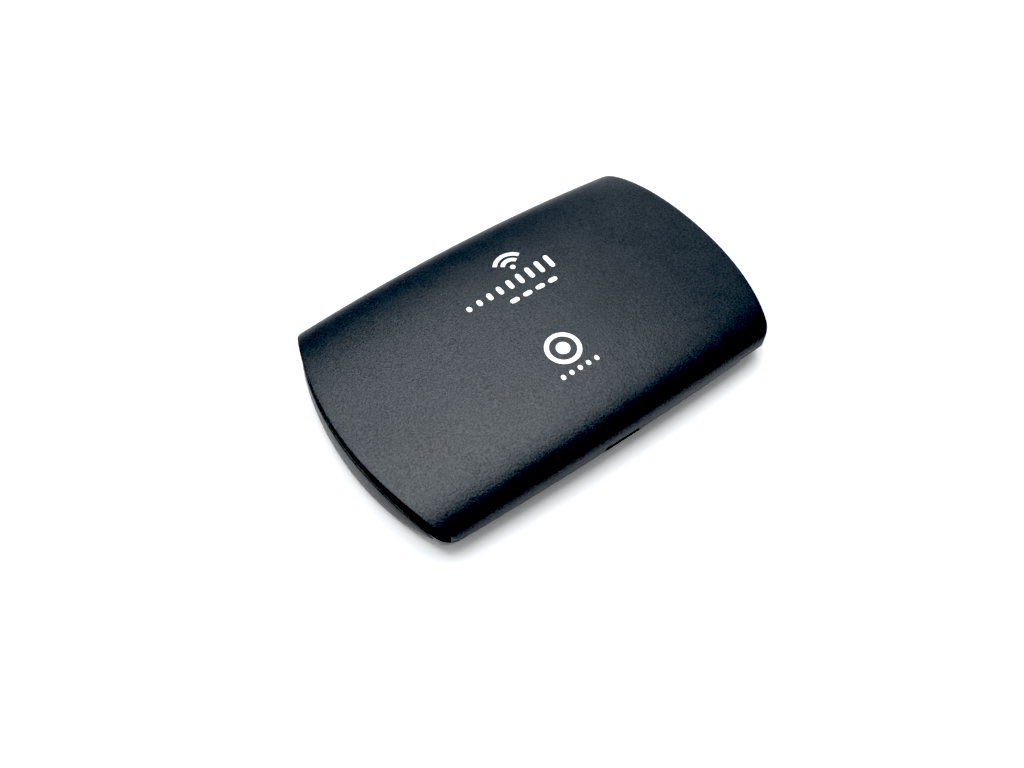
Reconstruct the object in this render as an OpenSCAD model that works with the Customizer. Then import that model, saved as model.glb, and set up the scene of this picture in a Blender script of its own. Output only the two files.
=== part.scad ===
// Mobile hotspot: a pocket router with a clip-on back cover and a removable battery.
// Frame: X along the length, Y across the width, Z up. It lies on its front face, back cover on top.
// The origin is at the centre of the footprint, on the surface the device rests on.

/* [Body] */
// Overall length, over the bulge of the two end trims
body_l = 95; // [94:0.5:97]
// Overall width
body_w = 60; // [59.5:0.5:61]
// Overall thickness, at the centre of the back cover
body_t = 14; // [13.9:0.1:15]
// Height of the seam between the front shell and the back cover
seam_z = 6; // [6:0.05:6.1]
// How far each end bows outward in plan
end_bow = 6; // [5.5:0.25:6.5]
// How far each long side bows outward in plan
side_bow = 0.9; // [0.7:0.1:1.1]
// Radius of the plan corners
corner_r = 4.4; // [4:0.2:4.8]
// How far the back falls from its centre to its ends
crown_drop = 2; // [1.8:0.1:2.1]
// Squareness of the back's cross-section, where 2 is an ellipse
back_square = 3.56; // [3.4:0.02:3.8]
// Squareness of the front's rolled sides, where 2 is an ellipse
front_square = 1.9; // [1.8:0.05:2.1]
// Width of the flat strip along the front face
front_flat_w = 20; // [19:0.5:21]

/* [Walls] */
// Wall of the back cover
cover_wall = 1.2; // [1.1:0.05:1.2]
// Wall of the front shell's floor and sides
shell_wall = 1.4; // [1.3:0.05:1.4]
// Wall of the rear chassis
chassis_wall = 1.2; // [1.1:0.05:1.3]
// Gap between the back cover and the chassis under it
cover_gap = 0.35; // [0.3:0.05:0.4]

/* [Ends] */
// How far an end trim stands out from the cover's edge
trim_bulge = 0.6; // [0.5:0.05:0.7]
// Depth of the recess that an end trim sits in
trim_recess = 0.9; // [0.8:0.05:0.9]
// Highest point of an end trim
trim_top_z = 8.5; // [8.3:0.1:8.7]
// Lowest point of an end trim
trim_bottom_z = 0.5; // [0.4:0.05:0.6]
// Height of an end trim's pointed tips
trim_tip_z = 5.05; // [4.95:0.05:5.15]
// Distance between an end trim's tips
trim_w = 51.5; // [51:0.25:52]

/* [Battery] */
// Length of the battery
battery_l = 54; // [53:0.5:54]
// Width of the battery
battery_w = 43; // [42:0.5:43]
// Thickness of the battery
battery_t = 4.9; // [4.6:0.1:4.9]
// Offset of the battery's centre towards +X
battery_x = 6.5; // [6.5:0.1:6.7]

/* [Buttons] */
// Width of the power and pairing buttons
button_w = 9; // [8:0.25:9]
// Height of the power and pairing buttons
button_h = 2.4; // [2.2:0.1:2.4]
// Distance of each button from the centreline
button_y = 12; // [11.5:0.25:12.5]
// How far a button stands out from the trim
button_out = 0.35; // [0.25:0.05:0.35]

/* [Hidden] */

$fn = 72;
FINE = 256;      // facets on the large arcs
ARC_STEPS = 12;  // steps on each rolled side of a cross-section
EPS = 0.01;      // keeps neighbouring arcs from being exactly tangent
FAR = 60;        // more than half of any dimension

BLACK = [0.055, 0.06, 0.065];
MATTE = [0.16, 0.17, 0.18];
GREY = [0.36, 0.37, 0.37];
STEEL = [0.72, 0.73, 0.74];
GOLD = [0.83, 0.66, 0.3];
GREEN = [0.05, 0.25, 0.16];
CREAM = [0.86, 0.84, 0.78];

// Plan outline: two end arcs, two side arcs and four corner arcs
edge_l = body_l - 2 * trim_bulge;
half_l = edge_l / 2;
half_w = body_w / 2;
corner_x = half_l - end_bow;
corner_y = half_w - side_bow;
end_r = (corner_y * corner_y + end_bow * end_bow) / (2 * end_bow);
side_r = (corner_x * corner_x + side_bow * side_bow) / (2 * side_bow);
end_centre = [half_l - end_r, 0];
side_centre = [0, half_w - side_r];
crown_r = (half_l * half_l + crown_drop * crown_drop) / (2 * crown_drop);
CROWN_SWEEP = 13; // degrees of the crown arc, a little more than the body's length
MIN_CORNER_R = 0.8;

// Heights through the stack
cover_foot_z = seam_z + 0.03;
chassis_foot_z = seam_z + 0.05;
board_z = 3.4;
board_t = 0.8;
board_top = board_z + board_t;
bay_floor_z = 5.55;
bay_under_z = 4.7;
label_t = 0.1;
battery_z = bay_floor_z + label_t + 0.05;
lens_recess = 0.75;
lens_clear = 0.03;
lens_t = 0.62;
can_h = 1.5;
can_wall = 0.2;

// Plan of the battery bay
battery_gap = 0.3;
bay_x0 = battery_x - battery_l / 2 - battery_gap;
bay_x1 = battery_x + battery_l / 2 + battery_gap;
bay_y = battery_w / 2 + battery_gap;
cell_x0 = battery_x - battery_l / 2;
cell_x1 = battery_x + battery_l / 2;
cap_l = 2.2;     // end cap of the battery
wrap_t = 0.12;
pad_depth = 0.4; // wells of the battery's contact pads

// Pockets of the chassis: [x low, x high, y low, y high, floor top, underside]
CUT_THROUGH = 3;
SIM_POCKET = [-38, -22, 1.5, 17, CUT_THROUGH, bay_under_z];
PLUG_POCKET = [-26.2, -22, -15.4, -4.6, CUT_THROUGH, bay_under_z];
RESET_POCKET = [-37.5, -29, -16, -6, 7, 6.2];
BAY_POCKET = [bay_x0, bay_x1, -bay_y, bay_y, bay_floor_z, bay_under_z];
POCKETS = [BAY_POCKET, SIM_POCKET, PLUG_POCKET, RESET_POCKET];

// Card holder for a 15 by 12 mm card
SIM_X0 = -37.4;
SIM_X1 = -22.6;
SIM_Y0 = 2.2;
SIM_Y1 = 16.3;
sim_base_top = bay_floor_z;
sim_slot_top = 6.4;
sim_rail_w = 0.8;
sim_cage_t = 0.25;

// Battery connector, and the lines that its blades and the battery's pads share
CONTACT_Y = [-12.8, -10, -7.2];
PLUG_X0 = -25.8;
PLUG_X1 = -22.05;
PLUG_Y0 = -15;
PLUG_Y1 = -5;
plug_top_z = 8.6;
blade_w = 0.7;
blade_z = 7.4;
blade_t = 0.3;

// Fasteners: self-tapping case screws and board screws
CASE_SCREWS = [[-37.5, 20.5], [-37.5, -20.5], [38.5, 20.5], [38.5, -20.5]];
BOARD_SCREWS = [[-30, 21.5], [37.2, 0]];
case_screw_r = 0.8;
case_screw_seat_z = 8.2;
case_screw_tip_z = 2.3;
case_head_r = 1.6;
case_head_h = 0.7;
post_r = 2.3;
boss_r = 2;
board_screw_r = 0.7;
board_head_r = 1.35;
board_screw_tip_z = 1.9;
screw_gap = 0.03;

LED_X = [-15, -5, 5, 15];
lens_r = 9;
lens_half = 21;
USB_MOUTH_W = 8.6;
USB_MOUTH_H = 2.9;
usb_z = 4.3;
usb_w = 7.5;
usb_h = 2.45;
usb_wall = 0.25;
usb_front_y = -28.2;
usb_back_y = -23.2;
PRY_X0 = 32.5;
PRY_X1 = 41.5;
PRY_Z = 4.4;
PRY_DEPTH_Y = -28.3;
LUG_X = [-28, 0, 28];
lug_w = 6;
LUG_Y = 28.75;
channel_w = lug_w + 0.8;
CHANNEL_Y = 29.5;
shell_end_wall = 2.3; // plan inset of the front shell's cavity
board_side_gap = 5.4;
board_end_gap = 4.4;
open_end_y = 24.6;    // between these lines the cover has no skirt at its ends
band_y = 24.4;
seat_gap = 0.12;      // clearance round an end trim
trim_tip_cut = 0.6;
button_gap = 0.15;
light_w = 2.8;        // windows over the indicator lights
PIN_Y = 19.5;
pin_r = 0.6;
button_z = 4.1;
plunger_z = 5;
plunger_r = 0.5;
plunger_x = 42.2;
RESET_AT = [-33, -11];
antenna_z = 8.4;
foil_t = 0.1;
chassis_side = cover_wall + 0.4; // plan insets of the chassis
chassis_end = 2.2;

// Where two circles meet, on the side away from the line's right hand
function circles_meet(p, rp, q, rq) =
  let (d = q - p, n = norm(d), a = (rp * rp - rq * rq + n * n) / (2 * n), h = sqrt(rp * rp - a * a))
  p + a * d / n + h * [-d.y, d.x] / n;

// Outward point of an arc about centre c, radius r, in the direction of p
function on_arc(c, r, p) = c + r * (p - c) / norm(p - c);

// Rolled side of a superellipse, as unit values from the flat to the side
function rolled(square, turn) = [pow(sin(turn), 2 / square), pow(cos(turn), 2 / square)];

module slab(z0, z1) {
  translate([-FAR, -FAR, z0]) cube([2 * FAR, 2 * FAR, z1 - z0]);
}

module box(x0, x1, y0, y1, z0, z1) {
  translate([x0, y0, z0]) cube([x1 - x0, y1 - y0, z1 - z0]);
}

module post(at, r, z0, z1) {
  translate([at.x, at.y, z0]) cylinder(r = r, h = z1 - z0);
}

// Disc that bounds the +X end, taken in by inset
module end_disc(inset) {
  translate([end_centre.x, 0, -1]) cylinder(r = end_r - inset, h = body_t + 2, $fn = FINE);
}

// Disc that bounds the +Y side, taken in by inset
module side_disc(inset) {
  translate([0, side_centre.y, -1]) cylinder(r = side_r - inset, h = body_t + 2, $fn = FINE);
}

// Everything inside the plan outline, with its sides and ends taken in
module plan_prism(side, end) {
  r = max(corner_r - min(side, end), MIN_CORNER_R);
  c = circles_meet(end_centre, end_r - end - r, side_centre, side_r - side - r);
  end_touch = on_arc(end_centre, end_r - end, c);
  side_touch = on_arc(side_centre, side_r - side, c);
  intersection() {
    end_disc(end);
    mirror([1, 0, 0]) end_disc(end);
    side_disc(side);
    mirror([0, 1, 0]) side_disc(side);
    union() {
      box(-FAR, FAR, -end_touch.y, end_touch.y, -1, body_t + 1);
      box(-side_touch.x, side_touch.x, -FAR, FAR, -1, body_t + 1);
      for (sx = [-1, 1], sy = [-1, 1])
        post([sx * c.x, sy * c.y], r + EPS, -1, body_t + 1);
    }
  }
}

// Crowned back, taken in by inset, down to below the seam
module crowned_back(inset) {
  w = half_w - inset;
  h = body_t - seam_z - inset;
  low = crown_r - body_t + seam_z - 3;
  curve = [for (i = [-ARC_STEPS : ARC_STEPS])
    let (p = rolled(back_square, 90 * abs(i) / ARC_STEPS))
    [crown_r - body_t + seam_z + h * p[1], sign(i) * w * p[0]]];
  translate([0, 0, body_t - crown_r])
    rotate([0, -90, -90])
      rotate([0, 0, -CROWN_SWEEP / 2])
        rotate_extrude(angle = CROWN_SWEEP, $fn = FINE)
          polygon(concat([[low, w], [low, -w]], curve));
}

// Front half, taken in by inset, up to above the seam
module front_belly(inset) {
  flat = front_flat_w / 2;
  w = half_w - inset - flat;
  h = seam_z - inset;
  side = [for (i = [0 : ARC_STEPS])
    let (p = rolled(front_square, 90 * i / ARC_STEPS))
    [flat + w * p[0], seam_z - h * p[1]]];
  left = [for (i = [ARC_STEPS : -1 : 0]) [-side[i].x, side[i].y]];
  rotate([90, 0, 90])
    linear_extrude(height = 2 * FAR, center = true)
      polygon(concat(side, [[flat + w, seam_z + 1], [-flat - w, seam_z + 1]], left));
}

// Pointed oval of an end trim, as a bar along X, grown by grow
module trim_bar(grow) {
  half = trim_w / 2;
  rise = trim_top_z - trim_tip_z;
  fall = trim_tip_z - trim_bottom_z;
  top_r = (half * half + rise * rise) / (2 * rise);
  low_r = (half * half + fall * fall) / (2 * fall);
  intersection() {
    translate([0, 0, trim_top_z - top_r])
      rotate([0, 90, 0]) cylinder(r = top_r + grow, h = FAR, $fn = FINE);
    translate([0, 0, trim_bottom_z + low_r])
      rotate([0, 90, 0]) cylinder(r = low_r + grow, h = FAR, $fn = FINE);
    box(0, FAR, -half + trim_tip_cut - grow, half - trim_tip_cut + grow, -1, body_t);
  }
}

// Slice of the +X end between two insets
module end_slice(outer, inner) {
  difference() {
    end_disc(outer);
    end_disc(inner);
    box(-2 * FAR, half_l - 10, -2 * FAR, 2 * FAR, -2, body_t + 2);
  }
}

// Long hole or key along X, with round ends
module oval_bar(y, z, w, h) {
  box(half_l - 8, FAR, y - (w - h) / 2, y + (w - h) / 2, z - h / 2, z + h / 2);
  for (s = [-1, 1])
    translate([half_l - 8, y + s * (w - h) / 2, z]) rotate([0, 90, 0]) cylinder(r = h / 2, h = FAR);
}

module stadium(r, z0, z1) {
  box(-lens_half, lens_half, -r, r, z0, z1);
  for (s = [-1, 1]) post([s * lens_half, 0], r, z0, z1);
}

module trim_pins(r) {
  for (s = [-1, 1])
    translate([half_l - 6, s * PIN_Y, trim_tip_z - 0.7]) rotate([0, 90, 0]) cylinder(r = r, h = 3.6);
}

module end_trim() {
  intersection() {
    trim_bar(0);
    end_slice(-trim_bulge, trim_recess - 0.1);
  }
  intersection() {
    trim_pins(pin_r);
    end_slice(trim_recess - 0.15, shell_end_wall);
  }
}

module trim_seat() {
  difference() {
    trim_bar(seat_gap);
    end_disc(trim_recess);
  }
  trim_pins(pin_r + 0.05);
}

module end_band() {
  difference() {
    intersection() {
      end_slice(0.3, 2.1);
      crowned_back(cover_wall + 0.1);
      box(0, FAR, -band_y, band_y, chassis_foot_z, body_t);
    }
    trim_seat();
  }
}

module front_shell() {
  color(BLACK)
  difference() {
    union() {
      difference() {
        intersection() {
          front_belly(0);
          plan_prism(0, 0);
          slab(-1, seam_z);
        }
        intersection() {
          front_belly(shell_wall);
          plan_prism(shell_end_wall, shell_end_wall);
        }
      }
      intersection() {
        union() {
          for (p = CASE_SCREWS) post(p, boss_r, 1, board_z);
          for (p = BOARD_SCREWS) post(p, boss_r, 0.9, board_z);
        }
        front_belly(0.4);
      }
    }
    for (p = CASE_SCREWS) post(p, case_screw_r + screw_gap, case_screw_tip_z - 0.1, seam_z);
    for (p = BOARD_SCREWS) post(p, board_screw_r + screw_gap, board_screw_tip_z - 0.1, seam_z);
    stadium(lens_r + 0.1, -1, lens_recess);
    for (x = LED_X) box(x - light_w / 2, x + light_w / 2, -light_w / 2, light_w / 2, 0, 2);
    box(-USB_MOUTH_W / 2, USB_MOUTH_W / 2, -FAR, usb_back_y,
        usb_z - USB_MOUTH_H / 2, usb_z + USB_MOUTH_H / 2);
    box(PRY_X0, PRY_X1, -FAR, PRY_DEPTH_Y, PRY_Z, body_t);
    trim_seat();
    mirror([1, 0, 0]) trim_seat();
    for (s = [-1, 1])
      box(half_l - 6, FAR, s * button_y - 5.6, s * button_y + 5.6, 2.3, body_t);
  }
}

module front_lens() {
  color([0.03, 0.03, 0.035]) stadium(lens_r, lens_clear, lens_clear + lens_t);
}

module lens_adhesive() {
  color(CREAM)
  difference() {
    stadium(lens_r - 0.5, lens_clear + lens_t, lens_recess);
    stadium(lens_r - 2, 0, 2);
  }
}

module light_guide() {
  color([0.9, 0.93, 0.95]) {
    for (x = LED_X) box(x - 1.2, x + 1.2, -1.2, 1.2, lens_recess + 0.05, 2.7);
    box(LED_X[0], LED_X[3], -0.8, 0.8, 1.6, 2.2);
  }
}

module indicator_leds() {
  color(CREAM) for (x = LED_X) box(x - 0.8, x + 0.8, -0.5, 0.5, 2.8, board_z);
}

module main_board() {
  color(GREEN)
  difference() {
    intersection() {
      plan_prism(board_side_gap, board_end_gap);
      slab(board_z, board_top);
    }
    for (p = CASE_SCREWS) post(p, 1.1, 0, seam_z);
    for (p = BOARD_SCREWS) post(p, 0.9, 0, seam_z);
    box(-usb_w / 2 - 0.2, usb_w / 2 + 0.2, -FAR, usb_back_y + 0.2, 0, seam_z);
  }
}

// Shield can under the board, open towards it
module shield_can(x0, x1, y0, y1) {
  color(STEEL)
  difference() {
    box(x0, x1, y0, y1, board_z - can_h, board_z);
    box(x0 + can_wall, x1 - can_wall, y0 + can_wall, y1 - can_wall, board_z - can_h + can_wall, board_z + 1);
  }
}

module chip(x, y, w, d, h) {
  color(BLACK) box(x - w / 2, x + w / 2, y - d / 2, y + d / 2, board_z - h, board_z);
}

module baseband_can() shield_can(-26, -2, 3.2, 17.4);
module radio_can() shield_can(4, 27, 3.2, 17.4);
module wifi_can() shield_can(6, 27, -17.4, -3.2);
module baseband_chip() chip(-19.5, 10.3, 11, 11, 0.9);
module memory_chip() chip(-8, 10.3, 9, 11, 0.9);
module radio_chip() chip(15, 10.3, 8, 8, 0.8);
module wifi_chip() chip(16, -10.3, 7, 7, 0.8);
module power_chip() chip(-12, -11, 6, 6, 0.8);

module thermal_pad() {
  color([0.75, 0.7, 0.72]) box(-24.5, -14.5, 5.3, 15.3, board_z - can_h + can_wall, board_z - 0.9);
}

module board_capacitors() {
  color([0.62, 0.5, 0.36])
    for (x = [-32, -29, -26, -23, -20], y = [-15.5, -12.5])
      box(x - 0.8, x + 0.8, y - 0.4, y + 0.4, board_z - 0.8, board_z);
}

module crystal() {
  color(STEEL) box(-6.5, -3.3, -8, -5.5, board_z - 0.8, board_z);
}

module usb_shell() {
  color(STEEL)
  difference() {
    box(-usb_w / 2, usb_w / 2, usb_front_y, usb_back_y, usb_z - usb_h / 2, usb_z + usb_h / 2);
    box(-usb_w / 2 + usb_wall, usb_w / 2 - usb_wall, usb_front_y - 1, usb_back_y - usb_wall,
        usb_z - usb_h / 2 + usb_wall, usb_z + usb_h / 2 - usb_wall);
  }
}

module usb_tongue() {
  color(BLACK) {
    box(-2.7, 2.7, usb_front_y + 0.6, usb_back_y - 1, usb_z + 0.05, usb_z + 0.65);
    box(-usb_w / 2 + usb_wall, usb_w / 2 - usb_wall, usb_back_y - 1.2, usb_back_y - usb_wall,
        usb_z - usb_h / 2 + usb_wall, usb_z + usb_h / 2 - usb_wall);
  }
}

module usb_contacts() {
  color(GOLD)
    for (i = [-2 : 2])
      box(i * 0.95 - 0.2, i * 0.95 + 0.2, usb_front_y + 0.9, usb_back_y - 1.2, usb_z - 0.07, usb_z + 0.05);
}

// Card holder, with its mouth towards the battery bay
module sim_base() {
  color(BLACK) {
    box(SIM_X0, SIM_X1, SIM_Y0, SIM_Y1, board_top, sim_base_top);
    box(SIM_X0, SIM_X0 + sim_rail_w, SIM_Y0, SIM_Y1, board_top, sim_slot_top);
    for (y = [SIM_Y0, SIM_Y1 - sim_rail_w])
      box(SIM_X0, SIM_X1, y, y + sim_rail_w, board_top, sim_slot_top);
  }
}

module sim_cage() {
  color(STEEL)
  difference() {
    box(SIM_X0, SIM_X1, SIM_Y0, SIM_Y1, sim_slot_top, sim_slot_top + sim_cage_t);
    box(-34, -27, 6, 12.5, 6, 7);
    box(-25.5, FAR, 6.5, 12, 6, 7);
  }
}

module sim_contacts() {
  color(GOLD)
    for (x = [-33.5, -26.8], y = [6.7, 9.25, 11.8])
      box(x - 1.2, x + 1.2, y - 0.45, y + 0.45, sim_base_top, sim_base_top + 0.12);
}

module battery_connector() {
  color(CREAM)
  difference() {
    box(PLUG_X0, PLUG_X1, PLUG_Y0, PLUG_Y1, board_top, plug_top_z);
    for (y = CONTACT_Y) box(PLUG_X0 + 1, FAR, y - 0.5, y + 0.5, 5.8, FAR);
  }
}

module battery_blades() {
  color(GOLD)
    for (y = CONTACT_Y) {
      box(PLUG_X0 + 1.1, PLUG_X0 + 1.4, y - blade_w / 2, y + blade_w / 2, 5.9, plug_top_z - 0.2);
      box(PLUG_X0 + 1.1, cell_x0 - 0.12, y - blade_w / 2, y + blade_w / 2, blade_z, blade_z + blade_t);
    }
}

module reset_switch() {
  color(STEEL)
  difference() {
    box(RESET_AT.x - 1.8, RESET_AT.x + 1.8, RESET_AT.y - 1.6, RESET_AT.y + 1.6, board_top, 5.4);
    post(RESET_AT, 0.85, 4.6, 6);
  }
}

module reset_plunger() {
  color(BLACK) post(RESET_AT, 0.78, 4.95, 5.95);
}

// Side-press switch, with its well open towards +X
module side_switch(y) {
  color(STEEL)
  difference() {
    box(38, 41.2, y - 2.3, y + 2.3, board_top, 5.8);
    translate([39.4, y, plunger_z]) rotate([0, 90, 0]) cylinder(r = plunger_r + 0.07, h = 3);
  }
}

module side_plunger(y) {
  color(CREAM)
    translate([39.95, y, plunger_z]) rotate([0, 90, 0]) cylinder(r = plunger_r, h = plunger_x - 39.95);
}

module power_switch() side_switch(-button_y);
module wps_switch() side_switch(button_y);
module power_plunger() side_plunger(-button_y);
module wps_plunger() side_plunger(button_y);

// Button through the +X end trim: cap, retaining flange and stem
module end_button(y) {
  color(GREY) {
    intersection() {
      oval_bar(y, button_z, button_w, button_h);
      end_slice(-trim_bulge - button_out, trim_recess + 0.2);
    }
    intersection() {
      oval_bar(y, button_z, button_w + 1.6, button_h + 0.8);
      end_slice(trim_recess - 0.02, trim_recess + 0.8);
    }
    intersection() {
      box(plunger_x, half_l - 1, y - 0.9, y + 0.9, plunger_z - 0.5, plunger_z + 0.4);
      end_disc(trim_recess + 0.3);
    }
  }
}

module power_button() end_button(-button_y);
module wps_button() end_button(button_y);

module left_end_trim() {
  color(GREY) mirror([1, 0, 0]) end_trim();
}

module right_end_trim() {
  color(GREY)
  difference() {
    end_trim();
    for (s = [-1, 1]) oval_bar(s * button_y, button_z, button_w + 2 * button_gap, button_h + 2 * button_gap);
  }
}

module left_end_band() {
  color(BLACK) mirror([1, 0, 0]) end_band();
}

module right_end_band() {
  color(BLACK) end_band();
}

// Everything the chassis may fill, inside the back cover
module chassis_envelope() {
  intersection() {
    crowned_back(cover_wall + cover_gap);
    plan_prism(chassis_side, chassis_end);
    slab(board_top, body_t);
  }
}

module chassis_hollow() {
  intersection() {
    crowned_back(cover_wall + cover_gap + chassis_wall);
    plan_prism(chassis_side + chassis_wall, chassis_end + chassis_wall);
  }
}

module rear_chassis() {
  color(MATTE)
  difference() {
    intersection() {
      chassis_envelope();
      union() {
        difference() {
          slab(chassis_foot_z, body_t);
          chassis_hollow();
        }
        for (p = POCKETS)
          box(p[0] - chassis_wall, p[1] + chassis_wall, p[2] - chassis_wall, p[3] + chassis_wall, p[5], body_t);
        for (p = CASE_SCREWS) post(p, post_r, board_top, body_t);
      }
    }
    for (p = POCKETS) box(p[0], p[1], p[2], p[3], p[4], body_t + 1);
    for (p = CASE_SCREWS) {
      post(p, case_screw_r + 0.15, 0, body_t);
      post(p, case_head_r + 0.2, case_screw_seat_z, body_t + 1);
    }
    post(RESET_AT, 1, 5, body_t);
    // Window for the battery blades, and the mouth of the card slot
    box(-23, bay_x0 + 1, -14.6, -5.4, 6.8, 8.6);
    box(-23, bay_x0 + 1, SIM_Y0 + 0.4, SIM_Y1 - 0.4, bay_floor_z, body_t + 1);
    // Finger notch at the end of the battery
    translate([bay_x1 - 1, 0, 12.5]) rotate([0, 90, 0]) cylinder(r = 7, h = 4);
    // Channels for the cover's lugs
    for (x = LUG_X, s = [-1, 1])
      box(x - channel_w / 2, x + channel_w / 2, s * CHANNEL_Y - 1.7, s * CHANNEL_Y + 1.7, 5, body_t);
  }
}

// Carrier that holds an antenna inside an end of the chassis
module antenna_block(x0, y0, y1, z0) {
  color(BLACK)
  intersection() {
    plan_prism(6, 3.7);
    box(x0, FAR, y0, y1, z0, antenna_z);
  }
}

module left_antenna_carrier() {
  mirror([1, 0, 0]) antenna_block(39.7, -15, 15, 4.6);
}

module right_antenna_carrier() {
  antenna_block(36.2, 3.2, 16.2, 6.2);
}

module main_antenna() {
  color(GOLD)
  intersection() {
    mirror([1, 0, 0]) plan_prism(6, 4);
    union() {
      box(-FAR, -42.1, -14, 14, antenna_z, antenna_z + foil_t);
      for (y = [-13 : 4 : 11]) box(-42.2, -40, y, y + 1.2, antenna_z, antenna_z + foil_t);
    }
  }
}

module diversity_antenna() {
  color(GOLD) {
    box(37, 41.3, 4, 5, antenna_z, antenna_z + foil_t);
    box(37, 38, 4.5, 15.5, antenna_z, antenna_z + foil_t);
    for (y = [7.5, 11, 14.5]) box(37.5, 41, y, y + 1, antenna_z, antenna_z + foil_t);
  }
}

module wifi_antenna() {
  color(CREAM) box(35.9, 37.5, -9, -3, board_top, 5.4);
}

module antenna_springs() {
  color(GOLD) {
    for (y = [-5, 5]) box(-41.2, -40.2, y - 0.8, y + 0.8, board_top, 4.6);
    for (y = [5, 8]) box(37, 37.8, y - 0.6, y + 0.6, board_top, 6.2);
  }
}

module rf_test_sockets() {
  color(GOLD)
    for (x = [-25.5, -34]) {
      translate([x, 0, 0])
        difference() {
          post([0, 20.8], 1, board_top, 5.4);
          post([0, 20.8], 0.6, 4.6, 6);
        }
    }
}

module screw(at, shank_r, tip_z, seat_z, head_r, head_h) {
  difference() {
    union() {
      post(at, shank_r, tip_z, seat_z + 0.1);
      post(at, head_r, seat_z, seat_z + head_h);
    }
    for (turn = [0, 90])
      translate([at.x, at.y, seat_z + head_h]) rotate(turn) cube([head_r * 1.2, 0.35, 0.7], center = true);
  }
}

module case_screws() {
  color(STEEL)
    for (p = CASE_SCREWS) screw(p, case_screw_r, case_screw_tip_z, case_screw_seat_z, case_head_r, case_head_h);
}

module board_screws() {
  color(STEEL)
    for (p = BOARD_SCREWS) screw(p, board_screw_r, board_screw_tip_z, board_top, board_head_r, 0.6);
}

module bay_label() {
  color([0.93, 0.93, 0.92]) box(-8, 24, -12, 12, bay_floor_z, bay_floor_z + label_t);
}

// Well of one contact pad, from x to its bottom
module pad_well(x, y) {
  box(x, cell_x0 + pad_depth, y - 0.8, y + 0.8, battery_z + 0.9, battery_z + 3);
}

module battery_end_cap() {
  color(BLACK)
  difference() {
    box(cell_x0, cell_x0 + cap_l, -battery_w / 2, battery_w / 2, battery_z, battery_z + battery_t);
    for (y = CONTACT_Y) pad_well(cell_x0 - 1, y);
  }
}

module battery_pads() {
  color(GOLD) for (y = CONTACT_Y) pad_well(cell_x0 + 0.1, y);
}

module battery_cell() {
  color(STEEL)
    box(cell_x0 + cap_l, cell_x1 - wrap_t, -battery_w / 2 + wrap_t, battery_w / 2 - wrap_t,
        battery_z + wrap_t, battery_z + battery_t - wrap_t);
}

module battery_wrap() {
  color([0.12, 0.125, 0.13])
  difference() {
    box(cell_x0 + cap_l, cell_x1, -battery_w / 2, battery_w / 2, battery_z, battery_z + battery_t);
    box(cell_x0, cell_x1 - wrap_t, -battery_w / 2 + wrap_t, battery_w / 2 - wrap_t,
        battery_z + wrap_t, battery_z + battery_t - wrap_t);
  }
}

module foam_pad() {
  color([0.2, 0.2, 0.21]) box(-12, 12, -7, 7, battery_z + battery_t + 0.4, body_t - cover_wall - 0.2);
}

module back_cover() {
  color(MATTE)
  difference() {
    union() {
      difference() {
        intersection() {
          crowned_back(0);
          plan_prism(0, 0);
          slab(cover_foot_z, body_t + 1);
        }
        intersection() {
          crowned_back(cover_wall);
          union() {
            plan_prism(cover_wall, cover_wall);
            box(-FAR, FAR, -open_end_y, open_end_y, 0, body_t);
          }
        }
      }
      // Lugs that hold the skirt against the chassis
      for (x = LUG_X, s = [-1, 1])
        intersection() {
          box(x - lug_w / 2, x + lug_w / 2, s * LUG_Y - 0.6, s * LUG_Y + 0.6, 6.6, 7.5);
          crowned_back(0.3);
          plan_prism(0.3, 0.3);
        }
    }
    // Relief around the tips of the end trims
    trim_bar(seat_gap);
    mirror([1, 0, 0]) trim_bar(seat_gap);
  }
}

front_shell();
front_lens();
lens_adhesive();
light_guide();
indicator_leds();
main_board();
baseband_can();
radio_can();
wifi_can();
baseband_chip();
memory_chip();
power_chip();
radio_chip();
wifi_chip();
thermal_pad();
board_capacitors();
crystal();
usb_shell();
usb_tongue();
usb_contacts();
sim_base();
sim_cage();
sim_contacts();
battery_connector();
battery_blades();
reset_switch();
reset_plunger();
power_switch();
wps_switch();
power_plunger();
wps_plunger();
power_button();
wps_button();
left_end_trim();
right_end_trim();
left_end_band();
right_end_band();
rear_chassis();
left_antenna_carrier();
right_antenna_carrier();
main_antenna();
diversity_antenna();
wifi_antenna();
antenna_springs();
rf_test_sockets();
case_screws();
board_screws();
bay_label();
battery_cell();
battery_end_cap();
battery_wrap();
battery_pads();
foam_pad();
back_cover();
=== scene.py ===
"""Looks of the mobile hotspot round its CAD frame: shells, trims, prints, materials, light and camera."""
import math

import bmesh
import bpy
import numpy as np
from mathutils import Matrix, Vector


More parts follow.
